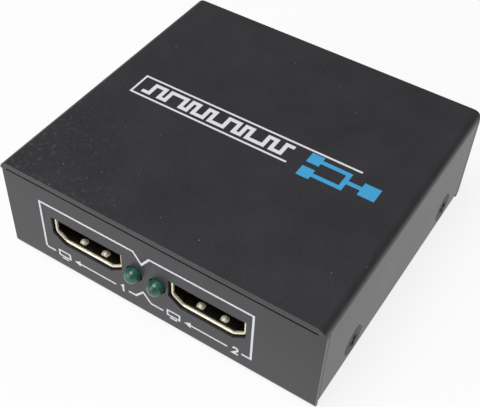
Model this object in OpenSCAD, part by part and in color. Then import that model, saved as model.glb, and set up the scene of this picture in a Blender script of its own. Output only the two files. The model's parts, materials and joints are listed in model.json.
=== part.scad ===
// Two-way video splitter box: folded sheet-metal case, circuit board, sockets, lights and screws.
// Millimetres. X runs along the front, Y from front to back, Z up.
// The origin is the middle of the underside.

/* [Case] */
// Width of the case across the front
case_w = 64; // [62:0.5:80]
// Depth of the case from front to back
case_d = 60; // [60:0.5:80]
// Height of the case
case_h = 21.5; // [21:0.5:31]
// Sheet thickness of the cover
cover_t = 1.2; // [0.8:0.1:1.5]
// Sheet thickness of the tray
tray_t = 1.0; // [0.8:0.1:1.4]
// Inside radius of the cover's bends
cover_bend_r = 0.5; // [0.3:0.1:1]
// Inside radius of the tray's bends
tray_bend_r = 0.3; // [0.2:0.1:0.8]
// Gap all round between the cover and the tray
seam_gap = 0.15; // [0.1:0.05:0.3]
// Gap between the top edges of the end panels and the lower ends of the cover's bends
panel_gap = 0.25; // [0.15:0.05:0.5]
// How far the end panels sit behind the edges of the cover
panel_recess = 0.3; // [0.2:0.1:1]
// Height of the lower edges of the cover above the underside
skirt_lift = 1.3; // [0.5:0.1:1.8]
// Height of the side flanges of the tray
flange_h = 8.4; // [8:0.2:10]
// Length of corner relief between a side flange and an end panel
corner_relief = 2; // [1.6:0.2:4]

/* [Cover screws] */
// Thread diameter of a cover screw
cover_screw_d = 2.9; // [2.4:0.1:3]
// Head diameter of a cover screw
cover_screw_head_d = 5.6; // [4.8:0.1:6]
// Length of a cover screw, head included
cover_screw_l = 4.2; // [3.6:0.1:4.6]
// Height of the cover screws above the underside
cover_screw_z = 4.8; // [4.5:0.1:5.2]
// Distance between the front and the rear screw on one side
cover_screw_pitch = 37; // [30:0.5:42]
// How far each pair of screws sits behind the middle of the case
cover_screw_shift = 1.2; // [-3:0.1:3]
// Diameter of the drawn collar round a threaded hole
collar_d = 4.6; // [4.2:0.1:5]
// Depth of the drawn collar inside the flange
collar_l = 0.9; // [0.5:0.1:1]
// Gap round a screw head in its countersink
head_gap = 0.15; // [0.1:0.05:0.3]
// Gap round a thread in its threaded hole
thread_gap = 0.05; // [0.03:0.01:0.1]
// Width of the cross recess's arms
recess_arm = 0.7; // [0.5:0.1:0.9]
// Tip to tip width of the cross recess
recess_w = 2.9; // [2:0.1:3.2]
// Depth of the cross recess
recess_depth = 0.8; // [0.5:0.1:1]

/* [Circuit board] */
// Thickness of the board
board_t = 1.6; // [1:0.2:2]
// Gap between the board and the side flanges
board_side_gap = 2.6; // [2.2:0.1:3]
// Gap between the board and the end panels
board_end_gap = 0.3; // [0.2:0.1:0.6]
// Height of a standoff above the tray's floor
standoff_h = 5; // [4.6:0.1:6]
// Diameter of a standoff
standoff_d = 4.8; // [4.4:0.1:5.5]
// Diameter of the spigot that is pressed into the tray's floor
spigot_d = 4; // [3.4:0.1:4.2]
// Distance from the board's side edge to a standoff
standoff_edge = 4; // [3.6:0.1:5]
// Front to back distance between standoffs
standoff_pitch_y = 20; // [18:0.5:22]
// How far the standoffs' middle lies in front of the case's middle
standoff_shift = 1; // [0:0.1:2]
// Thread diameter of a board screw
board_screw_d = 2.4; // [2:0.1:2.6]
// Head diameter of a board screw
board_screw_head_d = 5; // [4.4:0.1:5.4]
// Head height of a board screw
board_screw_head_h = 1.7; // [1.4:0.1:2]
// Thread length of a board screw below its head
board_screw_l = 4.6; // [3.6:0.1:5]
// Gap round a wire, leg or thread where it goes through the board
hole_gap = 0.15; // [0.1:0.05:0.25]

/* [Video sockets] */
// Middle of the two outputs, measured from the middle of the case
outputs_shift = -1.9; // [-3:0.1:2]
// Distance between the two outputs
output_pitch = 25; // [24:0.2:28]
// Place of the input on the rear panel
input_x = 9; // [6:0.5:14]
// Outer width of a socket's shell
shell_w = 14.5; // [14:0.1:15]
// Outer height of a socket's shell
shell_h = 5.05; // [4.9:0.05:5.4]
// Length of a socket's shell
shell_l = 11; // [10:0.2:12]
// Sheet thickness of a shell
shell_t = 0.25; // [0.2:0.05:0.35]
// Width of the slanted lower corners of a shell
shell_slant_w = 2.2; // [1.8:0.1:2.6]
// Height of the slanted lower corners of a shell
shell_slant_h = 1.6; // [1.3:0.1:2]
// How far a shell's mouth sits behind the panel's face
mouth_inset = 0.7; // [0.3:0.1:1.1]
// Gap between a shell and its cut-out in the panel
cutout_gap = 0.4; // [0.2:0.1:0.6]
// Width of a spring finger in the shell
finger_w = 1.7; // [1.4:0.1:2.2]
// Length of a spring finger
finger_l = 4.2; // [3:0.2:5]
// Width of the slit round a spring finger
finger_slit = 0.25; // [0.2:0.05:0.35]
// Distance between the two spring fingers of one wall
finger_pitch = 4.8; // [4:0.1:6]
// Distance from the mouth to the tip of a spring finger
finger_setback = 0.6; // [0.5:0.1:1.4]
// How far a finger's dimple stands into the socket
dimple_rise = 0.4; // [0.2:0.05:0.5]
// Radius of a finger's dimple
dimple_r = 0.65; // [0.5:0.05:0.7]
// Distance from the mouth to a shell's front legs
leg_setback = 2.6; // [2:0.1:3.5]
// Width of a shell's leg
leg_w = 1.4; // [1:0.1:1.8]
// Length of a shell's leg below the board's top
leg_l = 2.2; // [1.8:0.1:2.6]
// Depth of the insulator block behind the tongue
insulator_l = 3.6; // [3:0.1:4]
// Gap between the insulator and its shell
insulator_gap = 0.05; // [0.03:0.01:0.1]
// Width of the tongue
tongue_w = 11.2; // [11:0.1:11.6]
// Thickness of the tongue
tongue_t = 0.8; // [0.7:0.05:1]
// Height of the tongue above the socket's middle
tongue_lift = 0.35; // [0:0.05:0.5]
// Distance from the mouth to the tongue's tip
tongue_setback = 1.1; // [0.8:0.1:1.6]
// Width of a contact
contact_w = 0.4; // [0.3:0.05:0.45]
// Thickness of a contact
contact_t = 0.2; // [0.15:0.05:0.25]
// Distance between contacts of one row
contact_pitch = 1; // [0.95:0.01:1.05]
// Length of a contact's foot on the board
contact_foot = 0.7; // [0.4:0.1:0.8]
// Distance behind the shell at which the lower contacts turn down
front_row_setback = 0.4; // [0.3:0.1:0.6]
// Distance behind the shell at which the upper contacts turn down
rear_row_setback = 1.4; // [1.3:0.1:1.8]

/* [Power jack] */
// Place of the jack on the rear panel
jack_x = -16; // [-18:0.5:-14]
// Width of the jack's housing
jack_w = 9; // [8.6:0.1:9.4]
// Height of the jack's housing
jack_h = 10.6; // [10.2:0.1:10.8]
// Length of the jack's housing
jack_l = 13; // [12.6:0.2:14]
// Diameter of the round socket for the plug
jack_bore = 6.4; // [6:0.1:6.6]
// Depth of the round socket for the plug
jack_bore_l = 9.4; // [9:0.1:9.6]
// Height of the socket's axis above the board
jack_axis = 6.4; // [6.2:0.1:6.6]
// Diameter of the centre pin
jack_pin_d = 2; // [1.8:0.1:2.5]
// Distance from the jack's face to the tip of the centre pin
jack_pin_setback = 1.2; // [0.8:0.1:2]
// Diameter of the jack's hole in the rear panel
jack_hole = 7.6; // [7.2:0.1:8.2]
// Width of the leaf spring
leaf_w = 2.4; // [2:0.1:2.6]
// Thickness of the leaf spring and the terminals
leaf_t = 0.3; // [0.2:0.05:0.35]
// How far the leaf spring stands into the plug's socket
leaf_rise = 0.5; // [0.3:0.05:0.6]
// Gap beside the leaf spring in its slot
leaf_gap = 0.3; // [0.2:0.05:0.5]
// Distance from the jack's back to the root of the leaf spring
leaf_root_setback = 1.3; // [1:0.1:1.6]
// Distance from the jack's face to the crest of the leaf spring
leaf_crest = 5.2; // [4.6:0.1:5.8]
// Length of the leaf spring in front of its crest
leaf_nose = 1.8; // [1.2:0.1:2]
// How far the nose of the leaf spring turns down
leaf_nose_fall = 0.8; // [0.6:0.1:0.9]
// Thickness of the jack's floor under the leaf spring
slot_floor = 1.4; // [1.2:0.1:1.5]
// Height of the leaf spring's root above that floor
leaf_root_lift = 0.5; // [0.4:0.05:0.6]
// Distance from the jack's back to the pin's terminal
pin_blade_setback = 1; // [0.6:0.1:1.4]
// Length of the jack's terminals below the board
terminal_proud = 1; // [0.6:0.1:1.4]

/* [Lights] */
// Diameter of a light's lens
lens_d = 3; // [2.8:0.1:3.2]
// Diameter of the flange at the back of a lens
lens_flange_d = 3.8; // [3.6:0.1:4]
// Thickness of the flange at the back of a lens
lens_flange_t = 1; // [0.8:0.1:1.2]
// Length of a lens, flange included
lens_l = 5.3; // [4.8:0.1:5.6]
// How far a lens stands out of the panel
lens_proud = 2; // [0.5:0.1:2.2]
// Height of the lights' axis above the board
lens_axis = 2.4; // [2.2:0.1:2.8]
// Gap between a lens and its hole in the panel
lens_gap = 0.2; // [0.1:0.05:0.3]
// Distance between the two front lights
lights_pitch = 4.8; // [4.4:0.1:5.2]
// Middle of the two front lights, measured from the middle of the outputs
lights_shift = 0.2; // [-0.4:0.1:0.4]
// Place of the power light on the rear panel
power_light_x = -4; // [-6:0.5:-3]
// Side of a light's square wire
wire_t = 0.5; // [0.4:0.05:0.6]
// Distance between the two wires of a light
wire_pitch = 2.54; // [2.3:0.02:2.6]
// Length of a wire behind the lens before it bends down
wire_l = 2; // [1.5:0.1:3]
// Length of a wire below the board's top
wire_drop = 2.6; // [2:0.1:3]

/* [Board parts] */
// Side of the splitter chip's body
chip_side = 10; // [9:0.5:11]
// Height of the splitter chip's body
chip_h = 1.2; // [1:0.1:1.4]
// Leads on each side of the splitter chip
chip_leads = 16; // [8:1:16]
// Distance between the splitter chip's leads
chip_pitch = 0.5; // [0.4:0.05:0.55]
// Length of the memory chip's body
memory_l = 4.9; // [4.6:0.1:5.2]
// Width of the memory chip's body
memory_w = 3.9; // [3.7:0.1:4.1]
// Distance between the memory chip's leads
memory_pitch = 1.27; // [1.1:0.01:1.3]
// Length of the voltage regulator's body
regulator_l = 6.5; // [6:0.1:7]
// Width of the voltage regulator's body
regulator_w = 3.5; // [3.3:0.1:3.7]
// Distance between the voltage regulator's leads
regulator_pitch = 2.3; // [2:0.1:2.4]
// Height of the small chips' bodies
small_chip_h = 1.5; // [1.3:0.1:1.7]
// Length of the crystal's can
crystal_l = 10.4; // [9:0.2:11]
// Width of the crystal's can
crystal_w = 4; // [3.6:0.1:4.2]
// Height of the crystal's can
crystal_h = 3.4; // [2.5:0.1:4]
// Width and height of the rim round the crystal's foot
crystal_rim = 0.4; // [0.3:0.05:0.5]
// Width across the flats of the inductor
inductor_w = 6; // [5:0.2:6.4]
// Width across the cut corners of the inductor
inductor_corner_w = 7.5; // [7:0.1:8.4]
// Height of the inductor
inductor_h = 3; // [2:0.2:4]
// Diameter of a capacitor's can
can_d = 5.6; // [5:0.1:6]
// Height of a capacitor's can
can_h = 5; // [4:0.1:5.4]
// Side of a capacitor's base
can_base = 6; // [6:0.1:6.4]
// Height of a capacitor's base
can_base_h = 0.8; // [0.6:0.1:1]
// Length of a chip capacitor or resistor
passive_l = 1.6; // [1.2:0.1:1.8]
// Width of a chip capacitor or resistor
passive_w = 0.8; // [0.6:0.05:0.9]
// Height of a chip capacitor
passive_cap_h = 0.8; // [0.6:0.05:1]
// Height of a chip resistor
passive_res_h = 0.45; // [0.35:0.05:0.6]
// Distance between neighbours in a row of chip parts
passive_pitch = 1.6; // [1.4:0.1:1.8]
// Pieces in the row of chip capacitors
capacitor_count = 8; // [4:1:9]
// Pieces in the row of chip resistors
resistor_count = 7; // [4:1:8]

/* [Hidden] */

$fn = 48;
// Overlap of cutting tools past the faces that they cut
cut = 0.5;
// Front and rear, left and right
FRONT = -1;
REAR = 1;
SIDES = [-1, 1];

// Colours as the photo shows them, and the usual ones of the inner pieces
coat = [0.16, 0.165, 0.185];
screw_black = [0.20, 0.20, 0.21];
gilt = [0.80, 0.70, 0.48];
dark_plastic = [0.05, 0.05, 0.055];
board_green = [0.05, 0.25, 0.13];
tin = [0.75, 0.76, 0.78];
lens_green = [0.05, 0.35, 0.27];
lens_red = [0.55, 0.06, 0.05];
brass = [0.70, 0.58, 0.30];
ceramic = [0.62, 0.52, 0.38];
ferrite = [0.17, 0.17, 0.18];

// Case: faces of the tray and the panels
tray_w = case_w - 2 * (cover_t + seam_gap);
panel_y = case_d / 2 - panel_recess;
bend_out = tray_bend_r + tray_t;
flange_l = 2 * (panel_y - tray_t - corner_relief);
cover_bend_out = cover_bend_r + cover_t;
side_l = 2 * (panel_y - tray_t - seam_gap);
panel_h = case_h - cover_bend_out - panel_gap;
cover_screw_head_h = (cover_screw_head_d - cover_screw_d) / 2;

// Board: faces and standoff places
board_w = tray_w - 2 * (tray_t + board_side_gap);
board_d = 2 * (panel_y - tray_t - board_end_gap);
board_top = tray_t + standoff_h + board_t;
standoff_bore = board_screw_d + 2 * thread_gap;
standoff_places = [for (sx = SIDES, sy = SIDES)
    [sx * (board_w / 2 - standoff_edge), sy * standoff_pitch_y / 2 - standoff_shift]];

// Sockets: [place along the panel, which panel]
output_1 = [outputs_shift - output_pitch / 2, FRONT];
output_2 = [outputs_shift + output_pitch / 2, FRONT];
input = [input_x, REAR];
sockets = [output_1, output_2, input];
mouth_y = panel_y - mouth_inset;
leg_places = [leg_setback, shell_l - leg_setback];
leg_top = shell_slant_h + shell_t;
tongue_z = shell_h / 2 + tongue_lift;
insulator_front = shell_l - shell_t - insulator_l;
upper_row = 10;
lower_row = upper_row - 1;
upper_row_bend = shell_l + rear_row_setback;
lower_row_bend = shell_l + front_row_setback;

// Jack: measured inwards from its face
jack_face_y = panel_y - tray_t - board_end_gap;
leaf_root = jack_l - leaf_root_setback;
leaf_root_z = slot_floor + leaf_root_lift;
leaf_tip = leaf_crest - leaf_nose;
terminal_gap = 0.1;
slot_back = leaf_root + terminal_gap + leaf_t + leaf_gap;
pin_blade_y = jack_l + pin_blade_setback;
pin_hole = jack_pin_d + 2 * thread_gap;
terminal_drop = board_t + terminal_proud;

// Lights: [place along the panel, which panel]
lights_x = outputs_shift + lights_shift;
light_1 = [lights_x - lights_pitch / 2, FRONT];
light_2 = [lights_x + lights_pitch / 2, FRONT];
power_light = [power_light_x, REAR];
lights = [light_1, light_2, power_light];

// Chips: lift of a body off the board, and places of the board's parts
chip_lift = 0.1;
chip_at = [-2, -1];
memory_at = [10, 6];
regulator_at = [-15.5, 5];
crystal_at = [-2, 10];
inductor_at = [-14, -6];
capacitors_at = [[10.5, -6], [18, -1]];
chip_capacitors_at = [-2, -10.2];
chip_resistors_at = [-2, -12.6];
lead_reach = 1.1;
lead_t = 0.15;
chip_lead_w = chip_pitch / 2;
memory_leads = 4;
memory_lead_w = 0.42;
regulator_leads = 3;
regulator_lead_w = 0.7;
regulator_tab_w = 3;

// Points of a socket's outline, drawn in by a distance, with the middle of its lower edge at the origin.
// The two lower corners are slanted.
function socket_outline(inset) =
    let (slope = atan(shell_slant_h / shell_slant_w),
         half = shell_w / 2 - inset,
         side_z = shell_slant_h + inset * cos(slope) / (1 + sin(slope)),
         foot_x = shell_w / 2 - shell_slant_w - inset * sin(slope) / (1 + cos(slope)))
    [[-half, shell_h - inset], [-half, side_z], [-foot_x, inset],
     [foot_x, inset], [half, side_z], [half, shell_h - inset]];

// A box of a given size, centred on X and Y, standing on Z = 0
module slab(size) {
    translate([-size[0] / 2, -size[1] / 2, 0])
        cube(size);
}

// A flat outline in X and Z, given a thickness from Y = 0 inwards
module along_y(length) {
    translate([0, length, 0])
        rotate([90, 0, 0])
            linear_extrude(length)
                children();
}

// A side view in Y and Z, given a width centred on X = 0
module across_x(width) {
    rotate([90, 0, 90])
        linear_extrude(width, center = true)
            children();
}

// A rectangle on its lower edge with both lower corners rounded
module round_foot(width, height, radius) {
    translate([-width / 2, radius])
        square([width, height - radius]);
    translate([radius - width / 2, 0])
        square([width - 2 * radius, height]);
    for (s = SIDES)
        translate([s * (width / 2 - radius), radius])
            circle(radius);
}

// Section of a sheet folded up at both ends
module folded_sheet(width, height, sheet, radius) {
    difference() {
        round_foot(width, height, radius + sheet);
        translate([0, sheet])
            round_foot(width - 2 * sheet, height, radius);
    }
}

// Places children at a socket or light: Y = 0 at the given depth of that panel, +Y into the case
module at_panel(place, depth) {
    translate([place[0], place[1] * depth, 0])
        rotate([0, 0, place[1] == FRONT ? 0 : 180])
            children();
}

// Places children on a side of the case at a screw, with +Z pointing out
module at_cover_screw(side, end) {
    translate([side * case_w / 2, end * cover_screw_pitch / 2 + cover_screw_shift, cover_screw_z])
        rotate([0, side * 90, 0])
            children();
}

// Body of a countersunk screw below Z = 0, made larger all round by a gap
module countersunk(gap) {
    translate([0, 0, -cover_screw_l])
        cylinder(d = cover_screw_d + 2 * gap, h = cover_screw_l);
    translate([0, 0, -cover_screw_head_h])
        cylinder(d1 = cover_screw_d + 2 * gap, d2 = cover_screw_head_d + 2 * gap, h = cover_screw_head_h);
}

// Cross-shaped recess cut into a screw's top at Z = 0
module cross_recess(width, arm, depth) {
    for (turn = [0, 90])
        rotate([0, 0, turn])
            translate([0, 0, -depth])
                slab([width, arm, depth + cut]);
}

// Corner cut off the end of a cover's side, where the panel's wing stands
module cover_corner_cut(side, end) {
    reach = case_d / 2 - side_l / 2 + cut;
    translate([side * case_w / 2, end * (side_l + reach) / 2, -cut])
        slab([2 * cover_bend_out, reach, case_h - cover_bend_out + cut]);
}

module top_cover() {
    color(coat)
        difference() {
            translate([0, -case_d / 2, case_h])
                mirror([0, 0, 1])
                    along_y(case_d)
                        folded_sheet(case_w, case_h - skirt_lift, cover_t, cover_bend_r);
            for (side = SIDES, end = SIDES)
                cover_corner_cut(side, end);
            for (side = SIDES, end = SIDES)
                at_cover_screw(side, end) {
                    countersunk(head_gap);
                    cylinder(d = cover_screw_head_d + 2 * head_gap, h = cut);
                }
        }
}

// Bend along the lower edge of a side flange: what is cut off outside, then what fills the inside
module flange_bend_cut(side) {
    translate([side * (tray_w / 2 - bend_out), 0, bend_out])
        rotate([90, 0, 0])
            linear_extrude(flange_l, center = true)
                difference() {
                    translate([side > 0 ? 0 : -bend_out - cut, -bend_out - cut])
                        square(bend_out + cut);
                    circle(bend_out);
                }
}

module flange_bend_fill(side) {
    translate([side * (tray_w / 2 - bend_out), 0, bend_out])
        rotate([90, 0, 0])
            linear_extrude(flange_l, center = true)
                difference() {
                    translate([side > 0 ? 0 : -tray_bend_r, -tray_bend_r])
                        square(tray_bend_r);
                    circle(tray_bend_r);
                }
}

module side_flange(side) {
    translate([side * (tray_w - tray_t) / 2, 0, 0])
        slab([tray_t, flange_l, flange_h]);
    flange_bend_fill(side);
    for (end = SIDES)
        at_cover_screw(side, end)
            translate([0, 0, tray_w / 2 - case_w / 2 - tray_t - collar_l])
                cylinder(d = collar_d, h = collar_l + tray_t / 2);
}

// End panel at the full width of the case, so that it covers the ends of the cover's sides
module panel_wings(end) {
    intersection() {
        across_x(case_w)
            folded_sheet(2 * panel_y, panel_h, tray_t, tray_bend_r);
        translate([0, end * (panel_y - tray_t / 2), 0])
            slab([case_w, tray_t, panel_h]);
    }
}

module bottom_tray() {
    color(coat)
        difference() {
            union() {
                across_x(tray_w)
                    folded_sheet(2 * panel_y, panel_h, tray_t, tray_bend_r);
                for (side = SIDES) {
                    panel_wings(side);
                    side_flange(side);
                }
            }
            for (side = SIDES)
                flange_bend_cut(side);
            for (side = SIDES, end = SIDES)
                at_cover_screw(side, end)
                    translate([0, 0, -cover_screw_l - cut])
                        cylinder(d = cover_screw_d + 2 * thread_gap, h = cover_screw_l + cut);
            for (place = sockets)
                at_panel(place, panel_y)
                    translate([0, -cut, board_top])
                        along_y(tray_t + 2 * cut)
                            polygon(socket_outline(-cutout_gap));
            for (place = lights)
                at_panel(place, panel_y)
                    translate([0, -cut, board_top + lens_axis])
                        along_y(tray_t + 2 * cut)
                            circle(d = lens_d + 2 * lens_gap);
            at_panel([jack_x, REAR], panel_y)
                translate([0, -cut, board_top + jack_axis])
                    along_y(tray_t + 2 * cut)
                        circle(d = jack_hole);
            for (place = standoff_places)
                translate([place[0], place[1], -cut])
                    cylinder(d = spigot_d + 2 * thread_gap, h = tray_t + 2 * cut);
        }
}

module cover_screw(side, end) {
    color(screw_black)
        at_cover_screw(side, end)
            difference() {
                countersunk(0);
                cross_recess(recess_w, recess_arm, recess_depth);
            }
}

module board_standoffs() {
    color(brass)
        for (place = standoff_places)
            translate([place[0], place[1], 0])
                difference() {
                    union() {
                        cylinder(d = spigot_d, h = tray_t + standoff_h);
                        translate([0, 0, tray_t])
                            cylinder(d = standoff_d, h = standoff_h);
                    }
                    translate([0, 0, tray_t])
                        cylinder(d = standoff_bore, h = standoff_h + cut);
                }
}

module board_screws() {
    color(tin)
        for (place = standoff_places)
            translate([place[0], place[1], board_top])
                difference() {
                    union() {
                        cylinder(d = board_screw_head_d, h = board_screw_head_h);
                        translate([0, 0, -board_screw_l])
                            cylinder(d = board_screw_d, h = board_screw_l + board_screw_head_h);
                    }
                    translate([0, 0, board_screw_head_h])
                        cross_recess(recess_w, recess_arm, recess_depth);
                }
}

// Holes of one socket's legs, of one light's wires and of the jack's terminals, cut down through the board
module board_slot(width, length) {
    translate([0, 0, -board_t - cut])
        slab([width + 2 * hole_gap, length + 2 * hole_gap, board_t + 2 * cut]);
}

module circuit_board() {
    color(board_green)
        translate([0, 0, board_top])
            difference() {
                translate([0, 0, -board_t])
                    slab([board_w, board_d, board_t]);
                for (place = standoff_places)
                    translate([place[0], place[1], -board_t - cut])
                        cylinder(d = board_screw_d + 2 * hole_gap, h = board_t + 2 * cut);
                for (place = sockets, side = SIDES, y = leg_places)
                    at_panel(place, mouth_y)
                        translate([side * (shell_w - shell_t) / 2, y, 0])
                            board_slot(shell_t, leg_w);
                for (place = lights, side = SIDES)
                    at_panel(place, panel_y + lens_proud)
                        translate([side * wire_pitch / 2, lens_l + wire_l + wire_t / 2, 0])
                            board_slot(wire_t, wire_t);
                at_panel([jack_x, REAR], jack_face_y) {
                    translate([0, leaf_root + terminal_gap + leaf_t / 2, 0])
                        board_slot(leaf_w, leaf_t);
                    translate([0, pin_blade_y + leaf_t / 2, 0])
                        board_slot(jack_pin_d, leaf_t);
                }
            }
}

// Slit round three sides of a spring finger, and the finger's dimple, in a flat wall at Z = 0
module finger_cut(x) {
    translate([x, finger_setback, -cut])
        difference() {
            translate([0, (finger_l + finger_slit) / 2, 0])
                slab([finger_w + 2 * finger_slit, finger_l + finger_slit, shell_t + 2 * cut]);
            translate([0, finger_slit + finger_l, -cut])
                slab([finger_w, 2 * finger_l, shell_t + 4 * cut]);
        }
}

module finger_dimple(x) {
    translate([x, finger_setback + finger_slit + dimple_r, 0])
        intersection() {
            translate([0, 0, shell_t + dimple_rise - dimple_r])
                sphere(dimple_r);
            translate([0, 0, shell_t / 2])
                slab([2 * dimple_r, 2 * dimple_r, 2 * dimple_r]);
        }
}

module socket_shell(place) {
    color(gilt)
        at_panel(place, mouth_y)
            translate([0, 0, board_top]) {
                difference() {
                    along_y(shell_l)
                        polygon(socket_outline(0));
                    translate([0, -cut, 0])
                        along_y(shell_l + 2 * cut)
                            polygon(socket_outline(shell_t));
                    for (side = SIDES) {
                        finger_cut(side * finger_pitch / 2);
                        translate([0, 0, shell_h - shell_t])
                            finger_cut(side * finger_pitch / 2);
                    }
                }
                for (side = SIDES) {
                    finger_dimple(side * finger_pitch / 2);
                    translate([0, 0, shell_h])
                        mirror([0, 0, 1])
                            finger_dimple(side * finger_pitch / 2);
                    for (y = leg_places)
                        translate([side * (shell_w - shell_t) / 2, y, -leg_l])
                            slab([shell_t, leg_w, leg_l + leg_top]);
                }
            }
}

// Height of the lower face of a contact on top of the tongue, and of one below it
function contact_z(upper) = upper ? tongue_z + tongue_t / 2 : tongue_z - tongue_t / 2 - contact_t;

module socket_insulator(place) {
    row_w = upper_row * contact_pitch;
    color(dark_plastic)
        at_panel(place, mouth_y)
            translate([0, 0, board_top])
                difference() {
                    union() {
                        translate([0, insulator_front, 0])
                            along_y(insulator_l)
                                polygon(socket_outline(shell_t + insulator_gap));
                        translate([0, (tongue_setback + shell_l) / 2 - shell_t, tongue_z - tongue_t / 2])
                            slab([tongue_w, shell_l - tongue_setback - 2 * shell_t, tongue_t]);
                    }
                    for (upper = [true, false])
                        translate([0, insulator_front + insulator_l / 2, contact_z(upper) - insulator_gap])
                            slab([row_w, insulator_l + cut, contact_t + 2 * insulator_gap]);
                }
}

// Side view of a contact: along the tongue, down at the back and out along the board
module contact_side(low, bend) {
    start = tongue_setback + 2 * contact_t;
    polygon([[start, low], [bend, low], [bend, 0], [bend + contact_foot, 0],
             [bend + contact_foot, contact_t], [bend + contact_t, contact_t],
             [bend + contact_t, low + contact_t], [start, low + contact_t]]);
}

module contact_row(count, low, bend) {
    for (i = [0 : count - 1])
        translate([(i - (count - 1) / 2) * contact_pitch, 0, 0])
            across_x(contact_w)
                contact_side(low, bend);
}

module socket_contacts(place) {
    color(brass)
        at_panel(place, mouth_y)
            translate([0, 0, board_top]) {
                contact_row(upper_row, contact_z(true), upper_row_bend);
                contact_row(lower_row, contact_z(false), lower_row_bend);
            }
}

// Places children at the jack: Y = 0 at its face, +Y into the case, Z = 0 on the board
module at_jack() {
    at_panel([jack_x, REAR], jack_face_y)
        translate([0, 0, board_top])
            children();
}

module jack_housing() {
    slot_w = leaf_w + 2 * leaf_gap;
    slot_h = jack_axis - jack_bore / 2 - slot_floor + leaf_rise;
    color(dark_plastic)
        at_jack()
            difference() {
                translate([0, jack_l / 2, 0])
                    slab([jack_w, jack_l, jack_h]);
                translate([0, -cut, jack_axis])
                    along_y(jack_bore_l + cut)
                        circle(d = jack_bore);
                translate([0, 0, jack_axis])
                    along_y(jack_l + cut)
                        circle(d = pin_hole);
                translate([0, (leaf_tip - leaf_gap + slot_back) / 2, slot_floor])
                    slab([slot_w, slot_back - leaf_tip + leaf_gap, slot_h]);
                translate([0, leaf_root + terminal_gap + leaf_t / 2, -cut])
                    slab([leaf_w + 2 * hole_gap, leaf_t + 2 * hole_gap, slot_floor + 2 * cut]);
            }
}

module jack_centre_pin() {
    tip = jack_pin_setback + jack_pin_d / 2;
    color(tin)
        at_jack() {
            translate([0, tip, jack_axis]) {
                sphere(d = jack_pin_d);
                along_y(pin_blade_y + leaf_t - tip)
                    circle(d = jack_pin_d);
            }
            translate([0, pin_blade_y + leaf_t / 2, -terminal_drop])
                slab([jack_pin_d, leaf_t, terminal_drop + jack_axis]);
        }
}

module jack_leaf_spring() {
    crest_z = jack_axis - jack_bore / 2 + leaf_rise - leaf_t / 2;
    spine = [[leaf_root, leaf_root_z], [leaf_crest, crest_z], [leaf_tip, crest_z - leaf_nose_fall]];
    color(brass)
        at_jack()
            across_x(leaf_w)
                polygon([for (i = [0 : 2]) spine[i] + [0, leaf_t / 2],
                         for (i = [2 : -1 : 0]) spine[i] - [0, leaf_t / 2]]);
}

module jack_spring_terminal() {
    color(brass)
        at_jack()
            translate([0, leaf_root + terminal_gap + leaf_t / 2, -terminal_drop])
                slab([leaf_w, leaf_t, terminal_drop + leaf_root_z + leaf_t / 2]);
}

module light_lens(place, tint) {
    color(tint)
        at_panel(place, panel_y + lens_proud)
            translate([0, lens_d / 2, board_top + lens_axis]) {
                sphere(d = lens_d);
                along_y(lens_l - lens_d / 2)
                    circle(d = lens_d);
                translate([0, lens_l - lens_d / 2 - lens_flange_t, 0])
                    along_y(lens_flange_t)
                        circle(d = lens_flange_d);
            }
}

module light_wires(place) {
    low = lens_axis - wire_t / 2;
    color(tin)
        at_panel(place, panel_y + lens_proud)
            for (side = SIDES)
                translate([side * wire_pitch / 2, lens_l, board_top])
                    across_x(wire_t)
                        polygon([[0, low], [wire_l, low], [wire_l, -wire_drop], [wire_l + wire_t, -wire_drop],
                                 [wire_l + wire_t, low + wire_t], [0, low + wire_t]]);
}

// Places children on the board's top
module on_board(place) {
    translate([place[0], place[1], board_top])
        children();
}

// Row of gull-wing leads that start at the side of a body and step down to the board
module lead_row(count, pitch, width, height) {
    bend = lead_reach / 2;
    for (i = [0 : count - 1])
        translate([(i - (count - 1) / 2) * pitch, 0, 0])
            across_x(width)
                polygon([[0, height], [bend - lead_t, height], [bend - lead_t, 0],
                         [lead_reach, 0], [lead_reach, lead_t], [bend, lead_t],
                         [bend, height + lead_t], [0, height + lead_t]]);
}

module splitter_chip() {
    color(dark_plastic)
        on_board(chip_at)
            translate([0, 0, chip_lift])
                slab([chip_side, chip_side, chip_h]);
}

module splitter_chip_leads() {
    color(tin)
        on_board(chip_at)
            for (turn = [0 : 90 : 270])
                rotate([0, 0, turn])
                    translate([0, chip_side / 2, 0])
                        lead_row(chip_leads, chip_pitch, chip_lead_w, chip_h / 2);
}

module memory_chip() {
    color(dark_plastic)
        on_board(memory_at)
            translate([0, 0, chip_lift])
                slab([memory_l, memory_w, small_chip_h]);
}

module memory_chip_leads() {
    color(tin)
        on_board(memory_at)
            for (turn = [0, 180])
                rotate([0, 0, turn])
                    translate([0, memory_w / 2, 0])
                        lead_row(memory_leads, memory_pitch, memory_lead_w, small_chip_h / 2);
}

module voltage_regulator() {
    color(dark_plastic)
        on_board(regulator_at)
            translate([0, 0, chip_lift])
                slab([regulator_l, regulator_w, small_chip_h]);
}

module voltage_regulator_leads() {
    color(tin)
        on_board(regulator_at) {
            translate([0, regulator_w / 2, 0])
                lead_row(1, 0, regulator_tab_w, small_chip_h / 2);
            rotate([0, 0, 180])
                translate([0, regulator_w / 2, 0])
                    lead_row(regulator_leads, regulator_pitch, regulator_lead_w, small_chip_h / 2);
        }
}

// Upright can with a long round-ended outline
module long_can(length, width, height) {
    slab([length - width, width, height]);
    for (side = SIDES)
        translate([side * (length - width) / 2, 0, 0])
            cylinder(d = width, h = height);
}

module crystal() {
    color(tin)
        on_board(crystal_at) {
            long_can(crystal_l + 2 * crystal_rim, crystal_w + 2 * crystal_rim, crystal_rim);
            long_can(crystal_l, crystal_w, crystal_h);
        }
}

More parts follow.
